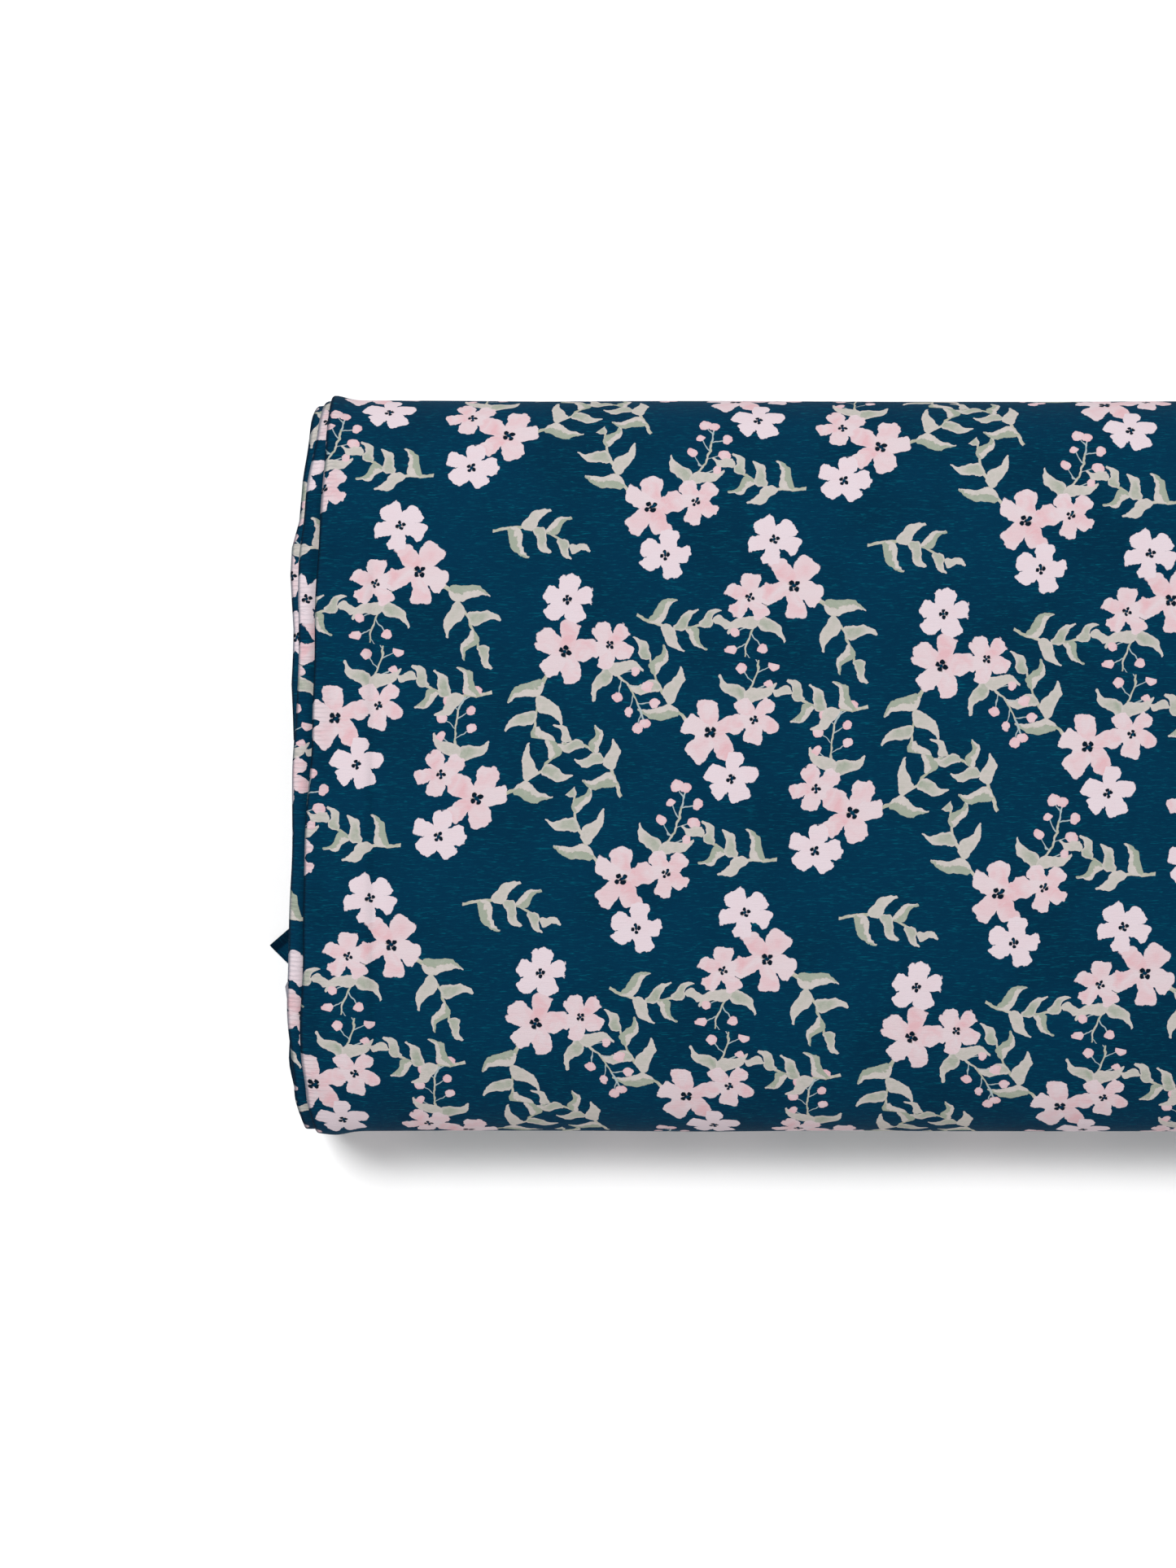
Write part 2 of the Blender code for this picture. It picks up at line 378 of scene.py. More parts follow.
def section(lines, turn, offset):
    """The (y, z) of the spiral at an offset, in pitches, from the turn's inner face. The loop is
    mixed straight from the first to the last: p = near + (far - near) (turn + growth + offset) / n."""
    near, far, growth, _ = lines
    share = ((turn + growth + offset) / (TURNS + FILL))[..., None]
    points = near + (far - near) * share
    return points + np.array([BOARD_CENTRE.y, 0.0])


def outward(lines, turn):
    """Each station's unit normal, away from the board, and the pitch measured along it."""
    line = section(lines, turn, PLY_MIDDLE)
    along = np.gradient(line, axis=0)
    along /= np.linalg.norm(along, axis=1)[:, None]
    normal = np.column_stack([along[:, 1], -along[:, 0]])
    pitch = ((lines[1] - lines[0]) * normal).sum(axis=1) / (TURNS + FILL)
    sign = np.sign(pitch.mean())
    return normal * sign, np.abs(pitch)


def arc_length(line):
    """The length run along a line at each of its points."""
    return np.concatenate([[0.0], np.cumsum(np.linalg.norm(np.diff(line, axis=0), axis=1))])


def winding_starts():
    """The cloth's length wound before each turn, and the length at the middle of the last top."""
    starts = [0.0]
    lines = turn_lines(FINE_STEPS)
    for turn in range(TURNS):
        line = section(lines, turn, PLY_MIDDLE)
        run = arc_length(line)
        starts.append(starts[-1] + run[-1])
    on_top = lines[3] == 1
    return starts, starts[-2] + np.interp(0.0, line[on_top, 0], run[on_top])


# ---------------------------------------------------------------- folded edge and waves


def fold_steps():
    """How far each turn's folded edge stays inside the bolt's left end, and its selvage inside
    the right one. The turns aren't laid quite true, and the last stops short of those under it."""
    turn = np.arange(TURNS + 1)
    fold = 0.0013 * (1.2 + np.sin(2.4 * turn) + 0.5 * np.sin(4.3 * turn + 1.0))
    fold[TURNS - 3 : TURNS + 1] = (0.0018, 0.0012, 0.0052, 0.0052)
    selvage = 0.0010 * (1.2 + np.sin(1.7 * turn + 1.1))
    return fold, selvage


def fold_shape(turn, y):
    """How a turn's folded edge wanders along Y: the cloth draws in at the bolt's corners. The third
    turn from the outside peeps out past the second in the rear half and at one place in front."""
    front = 1.2 * MM * smooth(-0.086, -0.098, y) + 2.2 * MM * smooth(-0.096, -0.109, y)
    middle = smooth(0.010, -0.030, y) * (1 - smooth(-0.075, -0.097, y))
    if turn == TURNS - 1:
        return front + 0.8 * MM * smooth(0.096, 0.109, y) - 1.1 * MM * middle
    rear = 1.3 * MM * smooth(0.082, 0.102, y) + 0.9 * MM * smooth(0.100, 0.109, y)
    if turn == TURNS - 2:
        out = 1.0 - 1.2 * smooth(0.060, 0.076, y) + 0.6 * bump(y, 0.003, 0.010)
        out = out - bump(y, -0.088, 0.009) + 1.3 * bump(y, 0.066, 0.026) - 0.6 * bump(y, 0.016, 0.016)
        return front * 1.4 + rear - out * MM
    if turn == TURNS - 3:
        reach = 2.5 + 1.0 * smooth(0.012, 0.022, y) + 1.9 * smooth(0.040, 0.058, y)
        shown = mix(2.6, -reach, smooth(-0.004, 0.008, y))
        shown = mix(shown, -3.0, smooth(0.0665, 0.0745, y))
        return front * 2 + rear * 1.4 + shown * MM - 5.4 * MM * bump(y, -0.0675, 0.009)
    return front * 1.5 + rear * 1.5


def edge_places(lines, turn, wound):
    """The folded edge's and the selvages' x at each station: steps from turn to turn, which
    change round the rear side, plus a slant, slow waves along the cloth and the fold's shape."""
    fold, selvage = fold_steps()
    after = min(turn + 1, TURNS)
    change = smooth(0.78, 1.0, lines[2])
    skew = math.tan(bpy.context.scene.bolt_cloth.skew)
    y = section(lines, turn, PLY_MIDDLE)[:, 0]
    waves = 0.25 * np.sin(wound / 0.031 + 0.7 * turn) + 0.20 * np.sin(wound / 0.0117 + 2.1 * turn)
    waves += 0.12 * np.sin(wound / 0.0049 + turn)
    over = smooth(0.0, 0.12, lines[2]) * (1 - change)
    left = CAD_BOX[0][0] + mix(fold[turn], fold[after], change) + skew * y + waves * MM
    left = left + over * fold_shape(turn, y)
    right = CAD_BOX[1][0] - mix(selvage[turn], selvage[after], change) + 0.5 * (skew * y + waves * MM)
    return left, right


def cloth_waves(x, y, wound, top, side, depth_share):
    """How far the cloth stands off its smooth loop, along the normal: it droops past the board's
    ends, dips where the board ends under it, swells at the sides past those ends and waves."""
    board_end = BOARD_LOW.x
    past_left = smooth(board_end + 0.006, CAD_BOX[0][0] + 0.002, x)
    past_right = smooth(BOARD_HIGH.x - 0.006, CAD_BOX[1][0] - 0.002, x)
    droop = -1.5 * MM * top * (past_left**1.5 + past_right**1.5)
    groove_window = smooth(-0.096, -0.080, y) * (1 - smooth(0.048, 0.070, y))
    groove = -1.3 * MM * top * bump(x, board_end + 0.0045, 0.0015) * groove_window
    groove += -0.45 * MM * top * bump(x, BOARD_HIGH.x - 0.0035, 0.0020)
    past_ends = bump(x, board_end - 0.0085, 0.0045) + bump(x, BOARD_HIGH.x + 0.0085, 0.005)
    swell = 1.1 * MM * side * past_ends
    height = bpy.context.scene.bolt_cloth.wrinkle
    waves = np.sin(wound / 0.0140 + 3.0 * np.sin(x / 0.085) + 0.8) * np.sin(x / 0.047 + wound / 0.061)
    slanting = np.sin(x / 0.029 - wound / 0.043)
    waves += 0.6 * np.sin(wound / 0.0067 + 2.2 * np.sin(x / 0.052 + 1.3)) * slanting
    waves += 0.4 * np.sin(wound / 0.0031 + 1.7 * np.sin(x / 0.031 + 0.4)) * np.sin(x / 0.017 + 0.9)
    return (droop + groove + swell) * depth_share + height * waves * depth_share**4


def fold_roll(turn, from_fold, y, top):
    """How the outer turns' folds roll over on the top face: the last millimetres fall away. The
    last turn swells beside its fold; the turn under it dips there and is creased in the rear."""
    if turn < TURNS - 4:
        return 0 * from_fold
    reach = 0.0022 if turn == TURNS - 1 else 0.0050
    fall = 0.7 * MM if turn == TURNS - 1 else 1.8 * MM
    roll = -fall * top * np.clip(1 - from_fold / reach, 0, 1) ** 2
    if turn == TURNS - 1:
        roll = roll + 0.35 * MM * top * bump(from_fold, 0.0030, 0.0022)
    if turn == TURNS - 2:
        roll = roll - 0.60 * MM * top * bump(from_fold, 0.0018, 0.0006) * smooth(0.050, 0.066, y)
        roll = roll - 1.10 * MM * top * bump(from_fold, 0.0056, 0.0021)
    return roll


def ply_rows(fine, fine_fold):
    """The rows of the doubled cloth from the outer selvage, round the fold, to the inner selvage.

    Each row is (kind, value): "fold" rows lie a distance from the fold on one ply, "run" rows are
    a share of the way along it, "edge" rows a distance from the selvage, and "arc" rows turn
    round the fold. The plies are told apart by the sign: 1 for the outer one, -1 for the inner.
    """
    near = np.array([0.0003, 0.0009, 0.0017, 0.0028, 0.0042, 0.006, 0.0085, 0.012, 0.017, 0.023, 0.030])
    if fine_fold:
        near = np.concatenate([np.arange(0.0003, 0.008, 0.0005), np.arange(0.009, 0.032, 0.0012)])
    run = np.linspace(0.0, 1.0, 150 if fine else 2)[1:-1]
    coarse_run = np.linspace(0.0, 1.0, 8 if fine else 2)[1:-1]
    edge = np.array([0.030, 0.018, 0.010, 0.005, 0.002, 0.0])
    arc = np.linspace(0.0, math.pi, 11)
    rows = [("edge", value, 1) for value in edge[::-1]]
    rows += [("run", value, 1) for value in run[::-1]]
    rows += [("fold", value, 1) for value in near[::-1]]
    rows += [("arc", value, 0) for value in arc]
    rows += [("fold", value, -1) for value in near]
    rows += [("run", value, -1) for value in coarse_run]
    rows += [("edge", value, -1) for value in edge]
    return rows, near[-1], edge[0]


def cloth_grid(lines, turn, start, centre_length, fine):
    """The grid of one turn's doubled cloth, as points (rows, stations, 3) and print places (w, v).

    At each station the cloth is a hairpin: two plies side by side along X, joined by a round
    fold. Row by row it has an x, an offset from the turn's middle in pitches, and w, the distance
    from the fold measured along the cloth, positive on the outer ply. v is the length wound,
    counted from the middle of the last top.
    """
    settings = bpy.context.scene.bolt_cloth
    middle = section(lines, turn, PLY_MIDDLE)
    normal, pitch = outward(lines, turn)
    wound = start + arc_length(middle)
    left, right = edge_places(lines, turn, wound)
    radius = FOLD_HALF_GAP * pitch
    rows, fold_end, edge_end = ply_rows(fine, turn >= TURNS - 4)
    x = np.empty((len(rows), len(middle)))
    offset = np.empty_like(x)
    width = np.empty_like(x)
    half_width = settings.width / 2
    for number, (kind, value, ply) in enumerate(rows):
        if kind == "arc":
            x[number] = left + radius * (1 - math.sin(value))
            offset[number] = FOLD_HALF_GAP * math.cos(value)
            width[number] = radius * (math.pi / 2 - value)
            continue
        fold_x = left + radius + fold_end
        edge_x = right - edge_end
        if kind == "fold":
            x[number] = left + radius + value
        elif kind == "run":
            x[number] = mix(fold_x, edge_x, value)
        else:
            x[number] = right - value - (0.0015 if ply < 0 else 0.0)
        from_fold = x[number] - left - radius
        gap = PLY_HALF_GAP + (FOLD_HALF_GAP - PLY_HALF_GAP) * np.exp(-((from_fold / FOLD_REACH) ** 2))
        offset[number] = ply * gap
        to_edge = smooth(0.0, 1.0, from_fold / (right - left))
        by_fold = from_fold + radius * math.pi / 2
        by_edge = half_width - (right - x[number])
        width[number] = ply * mix(by_fold, by_edge, to_edge)
    side = np.abs(normal[:, 0]) ** 2
    waves = cloth_waves(x, middle[:, 0], wound, lines[3], side, (turn + 1) / TURNS)
    waves += fold_roll(turn, x - left, middle[:, 0], lines[3])
    stand = offset * pitch + waves
    points = np.empty((len(rows), len(middle), 3))
    points[..., 0] = x
    points[..., 1:] = middle + normal * stand[..., None]
    places = np.stack([width, np.broadcast_to(wound - centre_length, x.shape)], axis=-1)
    return points, places


def grid_mesh(name, points, places):
    """A mesh of a grid of points (rows, stations, 3), with its places in the UV map "cloth".
    Each face runs station by station and then row by row, which turns it outwards."""
    rows, stations = points.shape[:2]
    index = np.arange(rows * stations).reshape(rows, stations)
    corners = [index[:-1, :-1], index[:-1, 1:], index[1:, 1:], index[1:, :-1]]
    faces = np.stack(corners, axis=-1).reshape(-1, 4)
    mesh = bpy.data.meshes.new(name)
    mesh.vertices.add(rows * stations)
    mesh.vertices.foreach_set("co", points.astype(np.float32).ravel())
    mesh.loops.add(faces.size)
    mesh.loops.foreach_set("vertex_index", faces.astype(np.int32).ravel())
    mesh.polygons.add(len(faces))
    mesh.polygons.foreach_set("loop_start", np.arange(0, faces.size, 4, dtype=np.int32))
    mesh.polygons.foreach_set("use_smooth", np.ones(len(faces), bool))
    layer = mesh.uv_layers.new(name="cloth")
    layer.data.foreach_set("uv", places.reshape(-1, 2)[faces.ravel()].astype(np.float32).ravel())
    mesh.update(calc_edges=True)
    mesh.validate()
    return mesh


def cloth_piece(name, points, places, materials):
    """A sheet with its ply's thickness: face material outside, back material inside and at the rims."""
    obj = bpy.data.objects.new(name, grid_mesh(name, points, places))
    bpy.context.scene.collection.objects.link(obj)
    for material in materials:
        obj.data.materials.append(material)
    thick = obj.modifiers.new("ply", "SOLIDIFY")
    thick.thickness = bpy.context.scene.bolt_cloth.thickness
    thick.offset = 0.0
    thick.use_even_offset = False
    thick.material_offset = 1
    thick.material_offset_rim = 1
    return obj


# ---------------------------------------------------------------- shader expressions


def linear(red, green, blue):
    """A colour from its 8-bit display values."""
    scaled = np.array([red, green, blue]) / 255.0
    low = scaled / 12.92
    high = ((scaled + 0.055) / 1.055) ** 2.4
    return (*np.where(scaled <= 0.04045, low, high).tolist(), 1.0)


def opaque(colour):
    """A colour with its alpha."""
    return (*colour, 1.0)


class Value:
    """A node's output socket, which Python's own operators turn into Math nodes."""

    def __init__(self, net, socket):
        self.net = net
        self.socket = socket

    def math(self, operation, *others):
        """A Math node with this value first."""
        sockets = {number: other for number, other in enumerate((self, *others))}
        return self.net.add("Math", sockets, operation=operation)

    def __add__(self, other):
        return self.math("ADD", other)

    __radd__ = __add__

    def __sub__(self, other):
        return self.math("SUBTRACT", other)

    def __rsub__(self, other):
        return self.net.add("Math", {0: other, 1: self}, operation="SUBTRACT")

    def __mul__(self, other):
        return self.math("MULTIPLY", other)

    def __truediv__(self, other):
        return self.math("DIVIDE", other)

    def __abs__(self):
        return self.math("ABSOLUTE")

    def __pow__(self, other):
        return self.math("POWER", other)

    def __lt__(self, other):
        return self.math("LESS_THAN", other)

    def times_plus(self, factor, addend):
        """This value times a factor, plus an addend, in one node."""
        return self.math("MULTIPLY_ADD", factor, addend)

    def least(self, other):
        """The smaller of this value and another."""
        return self.math("MINIMUM", other)

    def most(self, other):
        """The greater of this value and another."""
        return self.math("MAXIMUM", other)

    def rise(self, low, high):
        """0 below low, 1 above high, smooth between."""
        sockets = {"Value": self, "From Min": low, "From Max": high}
        return self.net.add("MapRange", sockets, interpolation_type="SMOOTHSTEP")


class Net:
    """The node tree of a material or a group, and the one method that adds any node to it."""

    def __init__(self, name, tree=None):
        self.tree = tree
        if tree is None:
            self.material = bpy.data.materials.new(name)
            self.material.use_nodes = True
            self.tree = self.material.node_tree
            self.tree.nodes.clear()

    def add(self, kind, sockets=None, output=0, **settings):
        """A new node with its inputs linked or set, returned as one of its outputs."""
        node = self.tree.nodes.new("ShaderNode" + kind)
        for name, value in settings.items():
            setattr(node, name, value)
        for key, value in (sockets or {}).items():
            if isinstance(value, Value):
                self.tree.links.new(value.socket, node.inputs[key])
            else:
                node.inputs[key].default_value = value
        return Value(self, node.outputs[output])

    def vector(self, operation, *others):
        """A Vector Math node of some vectors."""
        sockets = {number: other for number, other in enumerate(others)}
        return self.add("VectorMath", sockets, operation=operation)

    def stretched(self, point, turn, scale):
        """The point in a frame that is turned and stretched, so that a noise there is too."""
        sockets = {"Vector": point, "Rotation": (0.0, 0.0, turn), "Scale": scale}
        return self.add("Mapping", sockets, vector_type="TEXTURE")

    def colour(self, first, second, factor):
        """The first colour at factor 0, mixed towards the second at 1."""
        sockets = {"Factor": factor, 6: first, 7: second}
        return self.add("Mix", sockets, 2, data_type="RGBA")

    def blend_numbers(self, first, second, factor):
        """The first number at factor 0, mixed towards the second at 1."""
        return self.add("Mix", {0: factor, 2: first, 3: second}, data_type="FLOAT")

    def noise(self, point, scale, detail=2.0, roughness=0.5, distortion=0.0):
        """A noise texture's value at the point."""
        sockets = {"Vector": point, "Scale": scale, "Detail": detail, "Roughness": roughness}
        return self.add("TexNoise", {**sockets, "Distortion": distortion})

    def parts(self, point):
        """The x, y and z of a vector."""
        node = self.tree.nodes.new("ShaderNodeSeparateXYZ")
        self.tree.links.new(point.socket, node.inputs[0])
        return [Value(self, socket) for socket in node.outputs]

    def motif(self, name, maker, spot, under):
        """One motif's nodes in a group of their own: coordinates and colour in, colour out."""
        group = bpy.data.node_groups.new(name, "ShaderNodeTree")
        for socket, kind in (("X", "Float"), ("Y", "Float"), ("Under", "Color")):
            group.interface.new_socket(socket, in_out="INPUT", socket_type="NodeSocket" + kind)
        group.interface.new_socket("Colour", in_out="OUTPUT", socket_type="NodeSocketColor")
        inner = Net(name, group)
        entry = group.nodes.new("NodeGroupInput")
        x, y, below = (Value(inner, entry.outputs[socket]) for socket in ("X", "Y", "Under"))
        colour = maker(inner, (x, y), below)
        leave = group.nodes.new("NodeGroupOutput")
        group.links.new(colour.socket, leave.inputs["Colour"])
        return self.add("Group", {"X": spot[0], "Y": spot[1], "Under": under}, "Colour", node_tree=group)

    def finish(self, base, roughness, bump_height, distance, **constants):
        """The surface: base colour, roughness and bump vary, and every other socket is constant."""
        normal = self.add("Bump", {"Height": bump_height, "Distance": distance, "Strength": 1.0})
        surface = {"Base Color": base, "Roughness": roughness, "Normal": normal, **constants}
        shader = self.add("BsdfPrincipled", surface)
        out = self.tree.nodes.new("ShaderNodeOutputMaterial")
        self.tree.links.new(shader.socket, out.inputs["Surface"])
        return self.material


# ---------------------------------------------------------------- the floral print

# Stems with a greater half width than this, in mm, are sage and cream, and finer ones grey-blue.
THICK_STEM = 0.25
# Strokes at a blossom's heart, in blossom radii: place, turn in degrees, half length, half width.
HEART_STROKES = (
    (0.0, 0.10, 90, 0.14, 0.030),
    (0.09, -0.05, 330, 0.14, 0.030),
    (-0.09, -0.05, 210, 0.14, 0.030),
)


def petal_ring(half_width, pinkness):
    """Five petals a fifth of a turn apart, in blossom radii, uneven by sines of their number:
    each has a direction in degrees, a reach, a half width and how pink it is."""
    return [
        (
            72.0 * number + 7.0 * math.sin(2.3 * number),
            1.0 + 0.06 * math.sin(1.9 * number + 0.4),
            half_width * (1.0 + 0.09 * math.sin(2.7 * number)),
            pinkness * (0.55 + 0.45 * math.sin(1.7 * number + 1.0)),
        )
        for number in range(5)
    ]


def heart_ring(radius, dot):
    """A blossom's dark heart: dots round a ring and one in the middle, each a place and radius."""
    angles = [math.radians(25.0 + 90.0 * number) for number in range(4)]
    ring = [(radius * math.cos(angle), radius * math.sin(angle), dot) for angle in angles]
    return [*ring, (0.0, 0.0, dot * 0.8)]


def stem_line(length, bow, count):
    """Points up a stem that bows to one side: x = bow sin(pi t), y = length t."""
    shares = [number / count for number in range(count + 1)]
    return [(bow * math.sin(math.pi * t), length * t) for t in shares]


def stem_pieces(points, thick, thin):
    """The stem's straight pieces (x0, y0, x1, y1, half width), which thin towards the tip."""
    pieces = []
    for number, (low, high) in enumerate(zip(points, points[1:])):
        pieces.append((*low, *high, mix(thick, thin, number / len(points))))
    return pieces


def leafy_sprig(length, bow, count, leaf, spread):
    """A stem with leaves set on alternate sides and one at its tip. A leaf is (x0, y0, x1, y1,
    width, how green, bend, whether its midrib parts it), and shortens towards the tip."""
    points = stem_line(length, bow, count)
    leaves = []
    for number in range(1, count + 1):
        side = (-1) ** number if number < count else 0
        x, y = points[number]
        size = leaf * (1.0 - 0.40 * number / count)
        lean = math.radians(90.0 - side * spread)
        tip = (x + size * math.cos(lean), y + size * math.sin(lean))
        parted = number % 3 == 1
        leaves.append((x, y, *tip, 0.42 * size, 0.2 + 0.6 * (number % 2), 0.7 * (side or 1), parted))
    return stem_pieces(points, 0.50, 0.28), leaves, []


def berry_sprig(length, bow, count, twig, radius):
    """A stem with berries on short twigs at alternate sides and one at its tip, and two leaves
    low down. A berry is a place and a radius."""
    points = stem_line(length, bow, count)
    stems = stem_pieces(points, 0.34, 0.20)
    berries = [(*points[-1], radius)]
    for number in range(2, count):
        side = (-1) ** number
        x, y = points[number]
        reach = twig * (1.15 - 0.45 * number / count)
        end = (x + side * reach, y + 0.75 * reach)
        stems.append((x, y, *end, 0.16))
        berries.append((*end, radius * (1.0 + 0.14 * math.sin(2.1 * number))))
    x, y = points[1]
    leaves = [
        (x, y, x - 9.0, y + 5.5, 4.2, 0.7, -0.7, False),
        (x, y, x + 8.0, y + 7.0, 4.0, 0.2, 0.7, False),
    ]
    return stems, leaves, berries


def satin_spots(side):
    """Five posies in a repeat, on the lattice of a five-end satin: each lies a fifth of the
    repeat to the right of the last and two fifths above it. They stand up and hang down in
    turn. A placement is x and y in mm, turn in degrees, scale, and 1 or -1 for mirrored."""
    for number in range(5):
        turn = 180.0 * (number % 2) + 24.0 * math.sin(2.2 * number + 0.5)
        yield side * (0.06 + number / 5), side * (0.13 + number * 2 / 5), turn, 1.0, (-1) ** (number // 2)


def beside(spots, x, y, turn, scale):
    """Placements at a place in each given placement's own frame, turned and scaled further."""
    for spot_x, spot_y, spot_turn, _, mirror in spots:
        angle = math.radians(spot_turn)
        across = x * mirror
        place_x = spot_x + across * math.cos(angle) - y * math.sin(angle)
        place_y = spot_y + across * math.sin(angle) + y * math.cos(angle)
        yield place_x, place_y, spot_turn + turn * mirror, scale, mirror


def in_frame(spot, place, turn, scale=(1.0, 1.0)):
    """The two coordinates of a spot in the frame of a thing that stands at place, turned and
    scaled: u = ((x - x0) cos + (y - y0) sin) / sx, and v = ((y - y0) cos - (x - x0) sin) / sy."""
    cosine = math.cos(turn)
    sine = math.sin(turn)
    u_shift = -(place[0] * cosine + place[1] * sine) / scale[0]
    v_shift = -(place[1] * cosine - place[0] * sine) / scale[1]
    u = spot[0].times_plus(cosine / scale[0], spot[1].times_plus(sine / scale[0], u_shift))
    v = spot[1].times_plus(cosine / scale[1], spot[0].times_plus(-sine / scale[1], v_shift))
    return u, v


def nearest_placement(net, spot, placements, middle=(0.0, 0.0)):
    """The spot in the frame of whichever placement has its motif's middle nearest, and a number
    that tells the placements apart.

    The way to each middle is wrapped to half a repeat, so one placement serves every repeat.
    """
    half = bpy.context.scene.bolt_print.repeat / MM / 2
    best = None
    for number, (x, y, turn, scale, mirror) in enumerate(placements):
        angle = math.radians(turn)
        reach_x = scale * mirror * middle[0]
        reach_y = scale * middle[1]
        to_x = reach_x * math.cos(angle) - reach_y * math.sin(angle)
        to_y = reach_x * math.sin(angle) + reach_y * math.cos(angle)
        away_x = (spot[0] - (x + to_x)).math("WRAP", half, -half)
        away_y = (spot[1] - (y + to_y)).math("WRAP", half, -half)
        distance = away_x.times_plus(away_x, away_y * away_y) / scale**2
        size = (mirror * scale, scale)
        local = (*in_frame((away_x, away_y), (-to_x, -to_y), angle, size), 5.0 * number + 5.0)
        if best is None:
            best, least = local, distance
            continue
        closer = distance < least
        best = [net.blend_numbers(old, new, closer) for old, new in zip(best, local)]
        least = least.least(distance)
    return best


def shaken(net, local, point, scale, amount):
    """The local spot moved about by a noise of its own scale, for brush-drawn outlines."""
    drift = net.add("TexNoise", {"Vector": point, "Scale": scale, "Detail": 2.5, "Roughness": 0.6}, 1)
    red = net.add("SeparateColor", {0: drift}, 0)
    green = net.add("SeparateColor", {0: drift}, 1)
    return red.times_plus(amount, local[0] - amount / 2), green.times_plus(amount, local[1] - amount / 2)


def round_depth(spot, x, y, radius):
    """How deep a spot lies inside a circle, near its edge: (r^2 - d^2) / 2r."""
    to_x = spot[0] - x
    to_y = spot[1] - y
    return to_x.times_plus(to_x, to_y * to_y).times_plus(-0.5 / radius, radius / 2)


def deepest(depths):
    """The greatest of some depths."""
    best = None
    for depth in depths:
        best = depth if best is None else best.most(depth)
    return best


def blossoms(net, spot, under, placements, petals, heart, pale):
    """One kind of blossom over what lies under it.

    The petals are painted one after the other. Each is a rounded square, where the mean of the
    squares' sum and the fourth powers' sum of its two coordinates is 1. Noise pushes its outline
    about, and its wash runs from pale to its own share of pink. Strokes and dark dots lie at the
    blossom's heart.
    """
    settings = bpy.context.scene.bolt_print
    pink = opaque(settings.pink)
    local = nearest_placement(net, spot, placements)
    point = net.add("CombineXYZ", {0: local[0], 1: local[1], 2: local[2]})
    brushed = shaken(net, local, point, 1.5, 0.52)
    torn = (net.noise(point, 4.2, 3.0, 0.62) - 0.5).times_plus(0.95, 1.0)
    wash = net.noise(point, 1.6, 3.0, 0.55, 0.8).times_plus(3.2, -1.05).most(0.0)
    mask = None
    colour = None
    for direction, reach, half_width, pinkness in petals:
        angle = math.radians(direction)
        middle = (0.54 * reach * math.cos(angle), 0.54 * reach * math.sin(angle))
        u, v = in_frame(brushed, middle, angle, (0.50 * reach, 0.90 * half_width))
        v = v * u.times_plus(-0.24, 1.06)
        u = u * u
        v = v * v
        depth = (u.times_plus(u, u) + v.times_plus(v, v)).times_plus(-0.5, torn)
        inside = depth.rise(0.0, 0.16)
        amount = (depth.rise(0.05, 0.95).times_plus(0.55, 0.55) * wash * pinkness).least(1.0)
        painted = net.colour(pale, pink, amount)
        colour = painted if colour is None else net.colour(colour, painted, inside)
        mask = inside if mask is None else mask.most(inside)
    flat = shaken(net, local, point, 3.0, 0.12)
    strokes = []
    for x, y, turn, half_length, half_width in HEART_STROKES:
        u, v = in_frame(flat, (x, y), math.radians(turn), (half_length, half_width))
        strokes.append(1.0 - u.times_plus(u, v * v))
    colour = net.colour(colour, linear(146, 134, 124), deepest(strokes).rise(0.0, 0.8) * 0.9)
    dots = deepest(round_depth(flat, *dot) for dot in heart)
    speck = net.noise(point, 9.0, 2.0).times_plus(0.07, -0.035)
    colour = net.colour(colour, linear(4, 22, 36), (dots + speck).rise(-0.012, 0.016))
    return net.colour(under, colour, mask)


